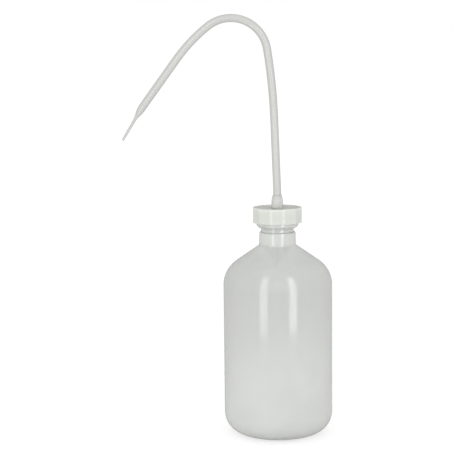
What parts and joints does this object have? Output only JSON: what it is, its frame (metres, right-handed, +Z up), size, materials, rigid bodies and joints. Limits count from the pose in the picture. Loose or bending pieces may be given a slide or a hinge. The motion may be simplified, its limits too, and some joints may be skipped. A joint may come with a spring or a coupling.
{
  "type": "wash bottle",
  "caption": "Squeeze wash bottle of milky soft plastic with a twelve-sided screw cap, a dip tube and a tall bent spout drawn to a fine jet.",
  "frame": {"origin": "on the bottle's axis, in the plane of its standing ring", "axes": "+Z up the bottle's axis, the spout reaching towards -X, +Y across the spout's plane"},
  "size_m": [0.1496, 0.078, 0.3008],
  "materials": {
    "bottle": "natural low-density polyethylene, milky and see-through in a thin wall, satin skin",
    "cap": "natural white moulded polyethylene, satin, denser than the bottle",
    "spout": "natural extruded polyethylene tube, milky, glossy outside",
    "dip_tube": "natural extruded polyethylene tube, milky"
  },
  "bodies": {
    "bottle": {"bottle": "bottle"},
    "dip_tube": {"dip_tube": "dip_tube"},
    "screw_cap": {"screw_cap": "cap"},
    "spout": {"spout_tube": "spout"}
  },
  "joints": [
    {"name": "closure_rise", "type": "slide", "parent": "bottle", "child": "dip_tube", "axis": [0, 0, 1], "range_m": [0, 0.0045]},
    {"name": "cap_turn", "type": "hinge", "parent": "dip_tube", "child": "screw_cap", "pos_m": [0, 0, 0.156], "axis": [0, 0, 1], "range_deg": [0, 540]},
    {"name": "spout_swivel", "type": "hinge", "parent": "screw_cap", "child": "spout", "pos_m": [0, 0, 0.168], "axis": [0, 0, 1], "continuous": true}
  ],
  "couplings": [
    {"joint": "closure_rise", "follows": "cap_turn", "m_per_rad": 0.00047746}
  ]
}
